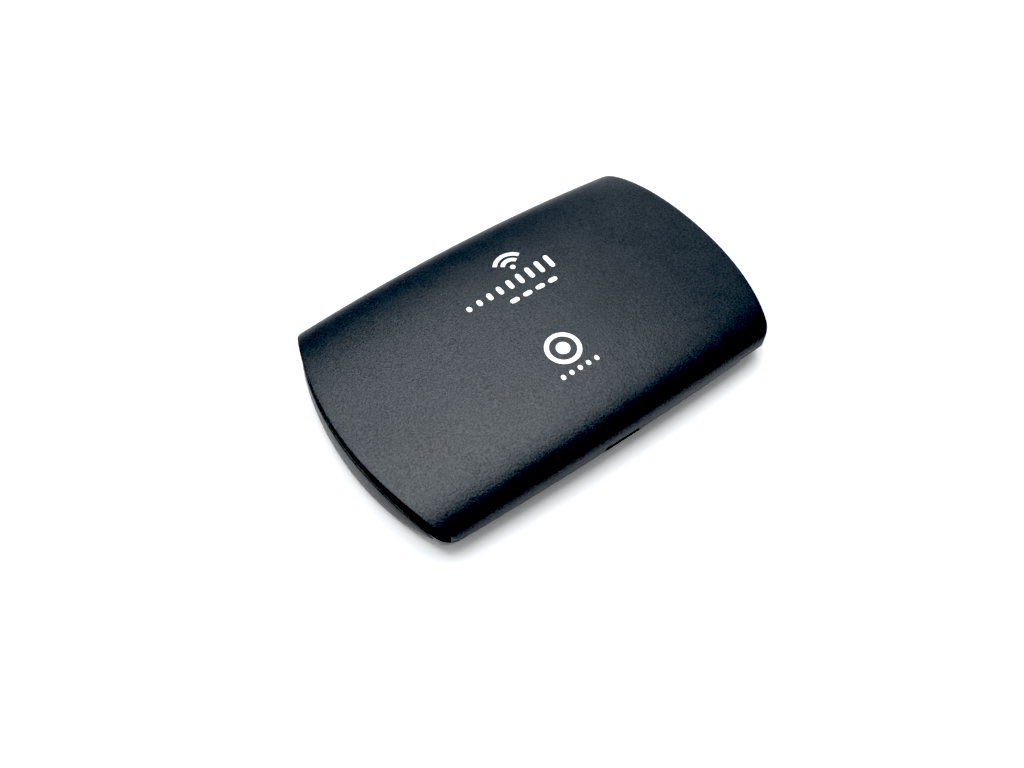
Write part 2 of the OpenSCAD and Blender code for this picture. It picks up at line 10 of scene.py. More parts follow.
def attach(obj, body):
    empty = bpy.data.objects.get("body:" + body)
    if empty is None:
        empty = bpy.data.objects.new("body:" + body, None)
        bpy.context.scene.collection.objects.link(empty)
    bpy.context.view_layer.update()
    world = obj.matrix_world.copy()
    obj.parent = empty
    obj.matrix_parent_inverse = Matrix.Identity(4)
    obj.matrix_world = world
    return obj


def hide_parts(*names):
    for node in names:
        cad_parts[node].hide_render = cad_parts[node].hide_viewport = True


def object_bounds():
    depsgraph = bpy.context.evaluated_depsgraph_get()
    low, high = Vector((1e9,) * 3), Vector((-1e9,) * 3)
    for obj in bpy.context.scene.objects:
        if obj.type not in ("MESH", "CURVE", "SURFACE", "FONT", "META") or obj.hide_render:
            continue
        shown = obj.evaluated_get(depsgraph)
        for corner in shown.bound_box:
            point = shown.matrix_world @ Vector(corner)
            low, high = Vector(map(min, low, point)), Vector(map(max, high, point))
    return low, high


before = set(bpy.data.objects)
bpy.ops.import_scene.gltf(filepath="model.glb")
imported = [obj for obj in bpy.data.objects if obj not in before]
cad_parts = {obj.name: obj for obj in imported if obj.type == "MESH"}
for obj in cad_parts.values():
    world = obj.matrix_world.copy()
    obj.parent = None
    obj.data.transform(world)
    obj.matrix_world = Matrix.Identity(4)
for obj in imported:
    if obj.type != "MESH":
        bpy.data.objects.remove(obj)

MM = 0.001
CAD_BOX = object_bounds()

# Body, in millimetres, as the CAD part has it
LENGTH, WIDTH, THICK = (round((hi - lo) / MM, 2) for lo, hi in zip(*CAD_BOX))
BULGE = 0.6             # how far the end trims stand out of the outline's arcs
SEAM = 6.0              # height of the split between front shell and back cover
END_BOW = 6.0
SIDE_BOW = 0.9
CORNER_R = 4.4
CROWN_DROP = 2.0        # fall of the back from its middle to its ends
BACK_SQUARE = 3.56      # exponent of the back's section
FRONT_SQUARE = 1.9      # exponent of the front's section
FRONT_FLAT = 10.0       # half width of the flat that the body rests on
COVER_WALL = 1.2
SHELL_WALL = 1.4
SHELL_END_WALL = 2.3
OPEN_END_Y = 24.5       # the cover has no skirt between these lines at its ends
HALF_L = LENGTH / 2 - BULGE
HALF_W = WIDTH / 2
END_R = ((HALF_W - SIDE_BOW) ** 2 + END_BOW ** 2) / (2 * END_BOW)
SIDE_R = ((HALF_L - END_BOW) ** 2 + SIDE_BOW ** 2) / (2 * SIDE_BOW)
END_CENTRE = np.array([HALF_L - END_R, 0.0])
SIDE_CENTRE = np.array([0.0, HALF_W - SIDE_R])
CROWN_R = (HALF_L ** 2 + CROWN_DROP ** 2) / (2 * CROWN_DROP)

# End trim: a long oval, from TRIM_LOW to TRIM_TOP, its tips at height TRIM_TIP and y = +-TRIM_HALF
TRIM_TOP, TRIM_LOW, TRIM_TIP, TRIM_HALF = 8.5, 0.5, 5.05, 25.75
TRIM_BLUNT = 0.35       # taken off each tip
TRIM_DEPTH = 0.9
TRIM_SEAT_GAP = 0.14

# End band, under the cover's open ends
BAND_HALF = 24.4
BAND_INSET = 0.3
BAND_DEPTH = 2.1

# Openings and windows
USB_W, USB_H, USB_Z = 8.6, 2.9, 4.3
PRY_X0, PRY_X1, PRY_Z = 32.5, 41.5, 4.4
FOOT_RELIEFS = ((-USB_W / 2, USB_W / 2), (PRY_X0, PRY_X1))      # pockets in the cover's foot, their faces painted near-black as shade
RELIEF_DEPTH = 0.35
LUG_X, LUG_Y = (-28, 0, 28), 28.75
BUTTON_Y, BUTTON_Z = 12, 4.1
LENS_FACE = 0.03
LENS_R, LENS_HALF = 9.0, 21
LIGHT_X = (-15, -5, 5, 15)
PRINT_RISE = 0.012      # how far ink stands out
INK_DEPTH = 0.05        # how far ink reaches in


# ---------------------------------------------------------------- outline and surfaces

class Outline:
    """Plan outline of the body, taken in by side and end insets."""

    def __init__(self, side=0.0, end=0.0):
        self.side_r = SIDE_R - side
        self.end_r = END_R - end
        self.r = max(CORNER_R - min(side, end), 0.8)
        d = SIDE_CENTRE - END_CENTRE
        n = np.linalg.norm(d)
        ra, rb = self.end_r - self.r, self.side_r - self.r
        a = (ra ** 2 - rb ** 2 + n ** 2) / (2 * n)
        h = math.sqrt(ra ** 2 - a ** 2)
        self.c = END_CENTRE + a * d / n + h * np.array([-d[1], d[0]]) / n
        to_c = (self.c - END_CENTRE) / np.linalg.norm(self.c - END_CENTRE)
        self.end_touch = (END_CENTRE + self.end_r * to_c)[1]

    def half_width(self, x):
        return SIDE_CENTRE[1] + np.sqrt(self.side_r ** 2 - np.square(x))

    def end_x(self, y):
        y = np.abs(y)
        on_end = END_CENTRE[0] + np.sqrt(self.end_r ** 2 - np.square(np.minimum(y, self.end_touch)))
        dy = np.clip(y - self.c[1], -self.r, self.r)
        on_corner = self.c[0] + np.sqrt(self.r ** 2 - dy ** 2)
        return np.where(y <= self.end_touch, on_end, on_corner)


def crown_drop(x):
    return CROWN_R - np.sqrt(CROWN_R ** 2 - np.square(x))


def cover_z(x, y, inset=0.0, outline=None):
    """Height of the back's surface."""
    outline = outline or Outline(inset, inset)
    v = np.clip(np.abs(y) / outline.half_width(x), 0, 1)
    return SEAM + (THICK - SEAM - inset) * (1 - v ** BACK_SQUARE) ** (1 / BACK_SQUARE) - crown_drop(x)


def ends_of(outline_x, y_of):
    """Where each lengthwise line y_of(x) meets the outline's end."""
    lo = np.zeros_like(y_of(np.float64(0)))
    hi = lo + HALF_L + 1
    for _ in range(48):
        mid = (lo + hi) / 2
        inside = mid < outline_x(y_of(mid))
        lo, hi = np.where(inside, mid, lo), np.where(inside, hi, mid)
    return lo


def even_steps(curve, count):
    """Parameter values that cut curve(t), t from 0 to 1, into steps of even length."""
    t = np.linspace(0, 1, 4001)
    p = curve(t)
    s = np.concatenate([[0], np.cumsum(np.linalg.norm(np.diff(p, axis=0), axis=1))])
    return np.interp(np.linspace(0, s[-1], count), s, t)


def mirrored(half):
    """Values from -1 to 1 out of a run from 0 to 1."""
    return np.concatenate([-half[:0:-1], half])


def loft_grid(angles, y_at, z_at, end_x, fillet, rows, fillet_rows=4, sink_share=None):
    """Grid across the section and along the length, with its ends rounded over by fillet.

    y_at(a, x) and z_at(a, x) give the section, end_x(y) the outline; sink_share(z) scales the
    rounding, with 1 turning it down and -1 up.
    """
    a = angles[:, None]
    reach = ends_of(end_x, lambda x: y_at(angles, x))[:, None]
    turn = np.linspace(0, math.pi / 2, fillet_rows + 1)[1:]
    half = np.linspace(0, 1, rows)
    x_half = np.concatenate([half * (reach - fillet), reach - fillet * (1 - np.sin(turn))], axis=1)
    sink = np.concatenate([np.zeros(rows), fillet * (1 - np.cos(turn))])[None, :]
    x = np.concatenate([-x_half[:, :0:-1], x_half], axis=1)
    sink = np.concatenate([sink[:, :0:-1], sink], axis=1)
    y, z = y_at(a, x), z_at(a, x)
    z = z - sink * (sink_share(z) if sink_share else 1)
    return np.stack([x, y, z], axis=2)


def boundary(m, n):
    """Grid indexes round the edge of an m by n grid, in order."""
    loop = [(i, 0) for i in range(m)] + [(m - 1, j) for j in range(1, n)]
    loop += [(i, n - 1) for i in range(m - 2, -1, -1)] + [(0, j) for j in range(n - 2, 0, -1)]
    return np.array(loop)


# ---------------------------------------------------------------- meshes

def tidy_mesh(mesh, sharp=35, weld=2e-6):
    bm = bmesh.new()
    bm.from_mesh(mesh)
    bmesh.ops.remove_doubles(bm, verts=bm.verts, dist=weld)
    bmesh.ops.dissolve_degenerate(bm, dist=weld / 2, edges=bm.edges)
    bmesh.ops.recalc_face_normals(bm, faces=bm.faces)
    bm.to_mesh(mesh)
    bm.free()
    mesh.polygons.foreach_set("use_smooth", [True] * len(mesh.polygons))
    mesh.set_sharp_from_angle(angle=math.radians(sharp))
    mesh.update()
    return mesh


def make_object(name, verts_mm, faces, sharp=35):
    mesh = bpy.data.meshes.new(name)
    mesh.from_pydata((np.asarray(verts_mm, float).reshape(-1, 3) * MM).tolist(), [], faces)
    obj = bpy.data.objects.new(name, tidy_mesh(mesh, sharp))
    bpy.context.scene.collection.objects.link(obj)
    return obj


def closed_shell(name, outer, rims, inner, sharp=35):
    """Closed mesh from an outer grid, the loops of its rim and an inner grid."""
    m, n = outer.shape[:2]
    edge = boundary(m, n)
    grid = np.arange(m * n).reshape(m, n)
    verts = [outer.reshape(-1, 3), inner.reshape(-1, 3)] + list(rims)
    faces = []
    for i in range(m - 1):
        for j in range(n - 1):
            q = [grid[i, j], grid[i + 1, j], grid[i + 1, j + 1], grid[i, j + 1]]
            faces.append(q)
            faces.append([k + m * n for k in q[::-1]])
    loops = [grid[edge[:, 0], edge[:, 1]]]
    start = 2 * m * n
    for k in range(len(rims)):
        loops.append(start + k * len(edge) + np.arange(len(edge)))
    loops.append(m * n + grid[edge[:, 0], edge[:, 1]])
    for a, b in zip(loops[:-1], loops[1:]):
        for k in range(len(edge)):
            nxt = (k + 1) % len(edge)
            faces.append([a[k], b[k], b[nxt], a[nxt]])
    return make_object(name, np.concatenate(verts), faces, sharp)


def apply_modifiers(obj, sharp=35):
    dg = bpy.context.evaluated_depsgraph_get()
    mesh = bpy.data.meshes.new_from_object(obj.evaluated_get(dg))
    obj.modifiers.clear()
    obj.data = mesh
    tidy_mesh(mesh, sharp, weld=1e-6)
    return obj


def cut(obj, *cutters, operation="DIFFERENCE"):
    for cutter in cutters:
        mod = obj.modifiers.new("cut", "BOOLEAN")
        mod.operation = operation
        mod.solver = "EXACT"
        mod.object = cutter
    apply_modifiers(obj)
    for cutter in cutters:
        bpy.data.objects.remove(cutter)
    return obj


def block(name, x0, x1, y0, y1, z0, z1, round_mm=0.0):
    v = [(x, y, z) for x in (x0, x1) for y in (y0, y1) for z in (z0, z1)]
    f = [(0, 1, 3, 2), (4, 6, 7, 5), (0, 4, 5, 1), (2, 3, 7, 6), (0, 2, 6, 4), (1, 5, 7, 3)]
    obj = make_object(name, v, f)
    if round_mm:
        bevel(obj, round_mm, 3)
        apply_modifiers(obj)
    return obj


def bevel(obj, width_mm, segments=2, angle=30):
    mod = obj.modifiers.new("edges", "BEVEL")
    mod.width = width_mm * MM
    mod.segments = segments
    mod.limit_method = "ANGLE"
    mod.angle_limit = math.radians(angle)
    mod.harden_normals = False
    return obj


def prism(name, outline, low, high, axis="z"):
    """Straight prism over a closed outline of (a, b) points; axis x takes them as (y, z)."""
    n = len(outline)
    order = {
        "z": lambda a, b, c: (a, b, c),
        "x": lambda a, b, c: (c, a, b),
        "y": lambda a, b, c: (a, c, b),
    }[axis]
    verts = [order(a, b, low) for a, b in outline] + [order(a, b, high) for a, b in outline]
    faces = [list(range(n)), list(range(2 * n - 1, n - 1, -1))]
    faces += [[k, (k + 1) % n, n + (k + 1) % n, n + k] for k in range(n)]
    return make_object(name, verts, faces)


def rounded_rect(w, h, r, at=(0, 0), steps=6):
    pts = []
    for quarter, (sx, sy) in enumerate([(1, 1), (-1, 1), (-1, -1), (1, -1)]):
        for k in range(steps + 1):
            a = math.pi / 2 * (quarter + k / steps)
            x, y = sx * (w / 2 - r) + r * math.cos(a), sy * (h / 2 - r) + r * math.sin(a)
            pts.append((at[0] + x, at[1] + y))
    return pts


def plate(name, outline, low, high, fillet=0.15, steps=3):
    """Flat plate over a convex outline, with rounded edges."""
    pts = np.array(outline, float)
    nxt, prv = np.roll(pts, -1, 0), np.roll(pts, 1, 0)
    t = nxt - prv
    out = np.stack([t[:, 1], -t[:, 0]], 1) / np.linalg.norm(t, axis=1)[:, None]
    loops = []
    for side, z in ((-1, low), (1, high)):
        turns = [math.pi / 2 * k / steps for k in range(steps + 1)]
        for a in turns if side < 0 else turns[::-1]:
            inset = fillet * (1 - math.sin(a))
            dz = fillet * (1 - math.cos(a))
            p = pts - out * inset
            loops.append(np.column_stack([p, np.full(len(p), z - side * dz)]))
    n = len(pts)
    faces = [list(range(n - 1, -1, -1)), [(len(loops) - 1) * n + k for k in range(n)]]
    for a in range(0, (len(loops) - 1) * n, n):
        b = a + n
        faces += [[a + k, a + (k + 1) % n, b + (k + 1) % n, b + k] for k in range(n)]
    return make_object(name, np.concatenate(loops), faces)


def stadium(r, half, steps=20):
    right = [(half + r * math.cos(a), r * math.sin(a)) for a in np.linspace(-math.pi / 2, math.pi / 2, steps)]
    return right + [(-x, -y) for x, y in right]


# ---------------------------------------------------------------- materials

def shader(name):
    mat = bpy.data.materials.new(name)
    mat.use_nodes = True
    nodes = mat.node_tree.nodes
    bsdf = nodes["Principled BSDF"]
    coord = nodes.new("ShaderNodeTexCoord")
    return mat, mat.node_tree, bsdf, coord.outputs["Object"]


def noise(tree, coord, size_mm, detail=2.0, stretch=None, rough=0.5):
    node = tree.nodes.new("ShaderNodeTexNoise")
    node.inputs["Scale"].default_value = 1 / (size_mm * MM)
    node.inputs["Detail"].default_value = detail
    node.inputs["Roughness"].default_value = rough
    if stretch:
        mapping = tree.nodes.new("ShaderNodeMapping")
        mapping.inputs["Scale"].default_value = stretch
        tree.links.new(coord, mapping.inputs["Vector"])
        coord = mapping.outputs["Vector"]
    tree.links.new(coord, node.inputs["Vector"])
    return node.outputs["Fac"]


def spread(tree, value, low, high, from_low=0.3, from_high=0.7):
    node = tree.nodes.new("ShaderNodeMapRange")
    node.inputs["From Min"].default_value = from_low
    node.inputs["From Max"].default_value = from_high
    node.inputs["To Min"].default_value = low
    node.inputs["To Max"].default_value = high
    tree.links.new(value, node.inputs["Value"])
    return node.outputs["Result"]


def blend_colour(tree, factor, a, b):
    node = tree.nodes.new("ShaderNodeMix")
    node.data_type = "RGBA"
    for socket, value in ((node.inputs[6], a), (node.inputs[7], b)):
        if isinstance(value, (tuple, list)):
            socket.default_value = (*value, 1)
        else:
            tree.links.new(value, socket)
    tree.links.new(factor, node.inputs[0])
    return node.outputs[2]


def bumped(tree, bsdf, height, strength, distance_mm, under=None):
    node = tree.nodes.new("ShaderNodeBump")
    node.inputs["Strength"].default_value = strength
    node.inputs["Distance"].default_value = distance_mm * MM
    tree.links.new(height, node.inputs["Height"])
    if under:
        tree.links.new(under, node.inputs["Normal"])
    tree.links.new(node.outputs["Normal"], bsdf.inputs["Normal"])
    return node.outputs["Normal"]


def edge_wear(tree, coord, low=0.52, high=0.62):
    """Mask of worn edges, broken up by noise."""
    geometry = tree.nodes.new("ShaderNodeNewGeometry")
    point = spread(tree, geometry.outputs["Pointiness"], 0, 1, low, high)
    patch = spread(tree, noise(tree, coord, 1.6, 4), 0, 1, 0.42, 0.62)
    both = tree.nodes.new("ShaderNodeMath")
    both.operation = "MULTIPLY"
    tree.links.new(point, both.inputs[0])
    tree.links.new(patch, both.inputs[1])
    return both.outputs[0]


def scratches(tree, coord, turn=0.4, size_mm=3.0):
    """Sparse fine lines, as values near 1."""
    mapping = tree.nodes.new("ShaderNodeMapping")
    mapping.inputs["Rotation"].default_value = (0, 0, turn)
    mapping.inputs["Scale"].default_value = (1, 14, 1)
    tree.links.new(coord, mapping.inputs["Vector"])
    node = tree.nodes.new("ShaderNodeTexNoise")
    node.inputs["Scale"].default_value = 1 / (size_mm * MM)
    node.inputs["Detail"].default_value = 3
    tree.links.new(mapping.outputs["Vector"], node.inputs["Vector"])
    return spread(tree, node.outputs["Fac"], 0, 1, 0.68, 0.74)


def plastic(name, colour, rough, grain_mm=0.22, grain=0.5, speck=0.0, tint=1.15, coat=0.0, spec=0.5,
            wear=0.25, glint=0.0):
    """Moulded plastic: spark-eroded grain, cloudy gloss, light specks, fine scratches and worn edges."""
    mat, tree, bsdf, coord = shader(name)
    light = tuple(min(1, c * tint) for c in colour)
    base = blend_colour(tree, spread(tree, noise(tree, coord, 6.0, 3), 0, 1), colour, light)
    if speck:
        mask = spread(tree, noise(tree, coord, 0.3, 1), 0, 1, 0.70, 0.80)
        base = blend_colour(tree, mask, base, tuple(min(1, c + speck) for c in colour))
    worn = tuple(min(1, c + 0.06 * wear + c * wear) for c in colour)
    base = blend_colour(tree, edge_wear(tree, coord), base, worn)
    tree.links.new(base, bsdf.inputs["Base Color"])
    cloudy = spread(tree, noise(tree, coord, 0.5, 4), rough * 0.94, rough * 1.06)
    line = scratches(tree, coord)
    mix = tree.nodes.new("ShaderNodeMix")
    mix.inputs[3].default_value = min(1, rough + 0.12)
    tree.links.new(line, mix.inputs[0])
    tree.links.new(cloudy, mix.inputs[2])
    tree.links.new(mix.outputs[0], bsdf.inputs["Roughness"])
    bsdf.inputs["Specular IOR Level"].default_value = spec
    if glint:
        fleck = noise(tree, coord, grain_mm, 3, rough=0.7)
        sparkle = spread(tree, fleck, spec * (1 - glint), spec * (1 + glint), 0.35, 0.65)
        tree.links.new(sparkle, bsdf.inputs["Specular IOR Level"])
    bsdf.inputs["Coat Weight"].default_value = coat
    bsdf.inputs["Coat Roughness"].default_value = 0.06
    fine = bumped(tree, bsdf, noise(tree, coord, grain_mm, 2, rough=0.6), grain, 0.05)
    bumped(tree, bsdf, noise(tree, coord, grain_mm * 4, 2), grain * 0.25, 0.03, fine)
    return mat


def metal(name, colour, rough=0.3, stretch=(1, 12, 1), grain_mm=0.5, tarnish=(0.5, 0.45, 0.4)):
    """Stamped or plated metal with drawn grain and light tarnish."""
    mat, tree, bsdf, coord = shader(name)
    bsdf.inputs["Metallic"].default_value = 1.0
    patch = spread(tree, noise(tree, coord, 1.8, 4), 0, 0.5, 0.45, 0.75)
    dull = tuple(c * t for c, t in zip(colour, tarnish))
    tree.links.new(blend_colour(tree, patch, colour, dull), bsdf.inputs["Base Color"])
    lines = noise(tree, coord, grain_mm, 3, stretch)
    tree.links.new(spread(tree, lines, rough * 0.7, rough * 1.35), bsdf.inputs["Roughness"])
    bumped(tree, bsdf, lines, 0.25, 0.01)
    return mat


def printed(name, colour, rough=0.45, body=(0.02, 0.022, 0.025)):
    """Pad-printed ink, slightly worn through to the plastic."""
    mat, tree, bsdf, coord = shader(name)
    through = spread(tree, noise(tree, coord, 0.3, 4), 0, 0.8, 0.68, 0.8)
    shade = blend_colour(tree, noise(tree, coord, 1.2, 3), colour, tuple(c * 0.9 for c in colour))
    tree.links.new(blend_colour(tree, through, shade, body), bsdf.inputs["Base Color"])
    cloudy = spread(tree, noise(tree, coord, 0.4, 3), rough * 0.85, rough * 1.15)
    tree.links.new(cloudy, bsdf.inputs["Roughness"])
    bumped(tree, bsdf, noise(tree, coord, 0.25, 2), 0.3, 0.01)
    return mat


def satin_paint(name, colour, rough=0.42, spec=0.3, worn=2.2):
    """Dark grey satin paint: fine flake, soft gloss, edges rubbed lighter."""
    mat, tree, bsdf, coord = shader(name)
    flake = spread(tree, noise(tree, coord, 0.07, 1), 0, 1, 0.4, 0.7)
    dark, light, rubbed = (tuple(min(1, c * share) for c in colour) for share in (0.82, 1.25, worn))
    base = blend_colour(tree, flake, dark, light)
    base = blend_colour(tree, edge_wear(tree, coord), base, rubbed)
    tree.links.new(base, bsdf.inputs["Base Color"])
    rub = spread(tree, noise(tree, coord, 0.8, 4), rough * 0.85, rough * 1.2)
    tree.links.new(rub, bsdf.inputs["Roughness"])
    bsdf.inputs["Specular IOR Level"].default_value = spec
    bumped(tree, bsdf, noise(tree, coord, 0.12, 2), 0.2, 0.01)
    return mat


def board_mask(name):
    """Green solder mask with the traces showing through."""
    mat, tree, bsdf, coord = shader(name)
    brick = tree.nodes.new("ShaderNodeTexBrick")
    brick.inputs["Scale"].default_value = 1 / (2.4 * MM)
    brick.inputs["Mortar Size"].default_value = 0.09
    brick.inputs["Color1"].default_value = (0.010, 0.060, 0.035, 1)
    brick.inputs["Color2"].default_value = (0.008, 0.050, 0.030, 1)
    brick.inputs["Mortar"].default_value = (0.020, 0.120, 0.060, 1)
    tree.links.new(coord, brick.inputs["Vector"])
    cloud = spread(tree, noise(tree, coord, 3, 4), 0, 0.5)
    shade = blend_colour(tree, cloud, brick.outputs["Color"], (0.006, 0.04, 0.025))
    tree.links.new(shade, bsdf.inputs["Base Color"])
    tree.links.new(spread(tree, noise(tree, coord, 0.5, 3), 0.25, 0.4), bsdf.inputs["Roughness"])
    bumped(tree, bsdf, brick.outputs["Fac"], 0.3, 0.02)
    return mat


def clear_plastic(name, colour, rough=0.12):
    mat, tree, bsdf, coord = shader(name)
    bsdf.inputs["Transmission Weight"].default_value = 0.9
    bsdf.inputs["IOR"].default_value = 1.49
    tree.links.new(blend_colour(tree, noise(tree, coord, 2, 3), colour, tuple(c * 0.9 for c in colour)),
                   bsdf.inputs["Base Color"])
    rub = spread(tree, noise(tree, coord, 0.6, 3), rough * 0.7, rough * 1.5)
    tree.links.new(rub, bsdf.inputs["Roughness"])
    return mat


COVER_MAT = plastic("cover_plastic", (0.0270, 0.0305, 0.0340), 0.40, grain_mm=0.42, grain=1.0, speck=0.05,
                    glint=0.25)
GLOSS_MAT = plastic("gloss_black", (0.0025, 0.0025, 0.0028), 0.09, grain_mm=0.9, grain=0.03, coat=0.5,
                    wear=0.1)
# Near-black with almost no reflection: painted shade, laid on faces that lie in shade
SHADE_BLACK_MAT = plastic("painted_shade_black", (0.004, 0.004, 0.0045), 0.6, grain_mm=0.6, grain=0.2, spec=0.04, wear=0.1)
BAND_MAT = plastic("end_band", (0.003, 0.003, 0.0034), 0.3, grain_mm=0.9, grain=0.03, spec=0.06, wear=0.1)
CHASSIS_MAT = plastic("chassis_plastic", (0.13, 0.135, 0.142), 0.5, grain_mm=0.3, grain=0.5, wear=0.08)
LENS_MAT = plastic("lens_black", (0.003, 0.003, 0.004), 0.05, grain_mm=1.5, grain=0.02, coat=1.0, wear=0.05)
PORT_MAT = plastic("port_plastic", (0.045, 0.045, 0.046), 0.45, grain_mm=0.2, grain=0.3)
CREAM_MAT = plastic("connector_plastic", (0.62, 0.57, 0.44), 0.42, grain_mm=0.2, grain=0.25, tint=1.08)
CHIP_MAT = plastic("chip_resin", (0.018, 0.018, 0.019), 0.55, grain_mm=0.12, grain=0.5, speck=0.03)
PAD_MAT = plastic("gap_pad", (0.5, 0.42, 0.46), 0.7, grain_mm=0.3, grain=0.5, tint=1.1)
TAPE_MAT = plastic("adhesive", (0.05, 0.05, 0.052), 0.8, grain_mm=0.3, grain=0.8)
FOAM_MAT = plastic("foam", (0.10, 0.10, 0.105), 0.95, grain_mm=0.45, grain=1.0, speck=0.03, wear=0.05)
CERAMIC_MAT = plastic("ceramic_part", (0.33, 0.22, 0.13), 0.35, grain_mm=0.2, grain=0.2, tint=1.2)
WHITE_CERAMIC_MAT = plastic("antenna_ceramic", (0.7, 0.68, 0.62), 0.35, grain_mm=0.2, grain=0.2, tint=1.08)
LED_MAT = plastic("led", (0.7, 0.64, 0.42), 0.2, grain_mm=0.3, grain=0.1, tint=1.1)
WRAP_MAT = plastic("battery_film", (0.17, 0.185, 0.21), 0.32, grain_mm=0.6, grain=0.12, wear=0.0)
CAP_MAT = plastic("battery_plastic", (0.07, 0.07, 0.075), 0.42, grain_mm=0.25, grain=0.35, wear=0.0)
LABEL_MAT = plastic("label_paper", (0.72, 0.72, 0.69), 0.55, grain_mm=0.5, grain=0.15, tint=1.03, wear=0.0)
TRIM_MAT = satin_paint("trim_grey", (0.060, 0.063, 0.063), 0.36, 0.3)
BUTTON_MAT = satin_paint("button_grey", (0.085, 0.088, 0.09), 0.34, 0.4, worn=1.15)
STEEL_MAT = metal("steel", (0.62, 0.62, 0.63), 0.28)
CAN_MAT = metal("tin_can", (0.66, 0.66, 0.65), 0.36, grain_mm=0.8)
GOLD_MAT = metal("gold", (0.88, 0.62, 0.26), 0.2, grain_mm=0.3, tarnish=(0.85, 0.75, 0.6))
COPPER_MAT = metal("copper_foil", (0.75, 0.42, 0.22), 0.34, grain_mm=0.4)
SCREW_MAT = metal("screw_steel", (0.10, 0.10, 0.105), 0.3, grain_mm=0.2, stretch=(1, 1, 6))
CELL_MAT = metal("battery_metal", (0.7, 0.71, 0.72), 0.3)
BOARD_MAT = board_mask("board")
GUIDE_MAT = clear_plastic("light_guide", (0.92, 0.95, 0.96))
INK_MAT = printed("white_ink", (0.86, 0.87, 0.87))
SOFT_INK_MAT = printed("grey_ink", (0.62, 0.63, 0.64))
DARK_INK_MAT = printed("dark_ink", (0.02, 0.02, 0.022), 0.5, body=(0.6, 0.6, 0.58))
ICON_MAT = printed("icon_ink", (0.42, 0.45, 0.47), 0.3)

NODE_MATERIALS = {
    "lens_adhesive": TAPE_MAT, "light_guide": GUIDE_MAT, "indicator_leds": LED_MAT, "main_board": BOARD_MAT,
    "baseband_can": CAN_MAT, "radio_can": CAN_MAT, "wifi_can": CAN_MAT, "crystal": CAN_MAT,
    "baseband_chip": CHIP_MAT, "memory_chip": CHIP_MAT, "power_chip": CHIP_MAT, "radio_chip": CHIP_MAT,
    "wifi_chip": CHIP_MAT, "thermal_pad": PAD_MAT, "board_capacitors": CERAMIC_MAT,
    "usb_shell": STEEL_MAT, "usb_tongue": PORT_MAT, "usb_contacts": GOLD_MAT,
    "sim_base": PORT_MAT, "sim_cage": STEEL_MAT, "sim_contacts": GOLD_MAT,
    "battery_connector": CREAM_MAT, "battery_blades": GOLD_MAT, "reset_switch": STEEL_MAT,
    "reset_plunger": PORT_MAT, "power_switch": STEEL_MAT, "wps_switch": STEEL_MAT,
    "power_plunger": CREAM_MAT, "wps_plunger": CREAM_MAT,
    "power_button": BUTTON_MAT, "wps_button": BUTTON_MAT,
    "rear_chassis": CHASSIS_MAT, "left_antenna_carrier": PORT_MAT, "right_antenna_carrier": PORT_MAT,
    "main_antenna": COPPER_MAT, "diversity_antenna": COPPER_MAT, "wifi_antenna": WHITE_CERAMIC_MAT,
    "antenna_springs": GOLD_MAT, "rf_test_sockets": GOLD_MAT, "case_screws": SCREW_MAT,
    "board_screws": SCREW_MAT, "bay_label": LABEL_MAT, "battery_cell": CELL_MAT,
    "battery_end_cap": CAP_MAT, "battery_wrap": WRAP_MAT, "battery_pads": GOLD_MAT, "foam_pad": FOAM_MAT,
}
EDGE_ROUND = {
    "rear_chassis": 0.18, "battery_wrap": 0.5, "battery_end_cap": 0.4, "power_button": 0.22,
    "wps_button": 0.22, "usb_shell": 0.07, "sim_cage": 0.05, "sim_base": 0.08, "battery_connector": 0.12,
    "case_screws": 0.08, "board_screws": 0.06, "reset_switch": 0.08, "foam_pad": 0.3, "baseband_can": 0.12,
    "radio_can": 0.12, "wifi_can": 0.12, "power_switch": 0.08, "wps_switch": 0.08, "battery_blades": 0.04,
}


def finish_node(name):
    """Carried-over CAD node: its material, and its edges rounded."""
    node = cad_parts[name]
    node.data.materials.clear()
    node.data.materials.append(NODE_MATERIALS[name])
    if name in EDGE_ROUND:
        bevel(node, EDGE_ROUND[name], 2)
        node.modifiers.new("normals", "WEIGHTED_NORMAL").keep_sharp = True


def piece(obj, body, slot, material, *replaced):
    obj.data.materials.clear()
    obj.data.materials.append(material)
    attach(obj, body)
    if replaced:
        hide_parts(*replaced)
    return obj


# ---------------------------------------------------------------- back cover

COVER_FOOT = SEAM + 0.03
SECTION_STEPS = 72
LENGTH_STEPS = 44


def back_section(outline, inset):
    """Section of the back as functions of a share w from -1 to 1 and x."""
    rise = THICK - SEAM - inset

    def angle(w, x):
        foot = np.clip((COVER_FOOT - SEAM + crown_drop(x)) / rise, 1e-9, 1)
        return w * np.arccos(foot ** (BACK_SQUARE / 2))

    def y_at(w, x):
        a = angle(w, x)
        return outline.half_width(x) * np.sign(a) * np.abs(np.sin(a)) ** (2 / BACK_SQUARE)

    def z_at(w, x):
        return SEAM + rise * np.cos(angle(w, x)) ** (2 / BACK_SQUARE) - crown_drop(x)

    return y_at, z_at


def skirt_share(y):
    """1 where the cover has a skirt at its ends, 0 where its ends are open."""
    t = np.clip((np.abs(y) - OPEN_END_Y + 0.1) / 0.3, 0, 1)
    return t * t * (3 - 2 * t)


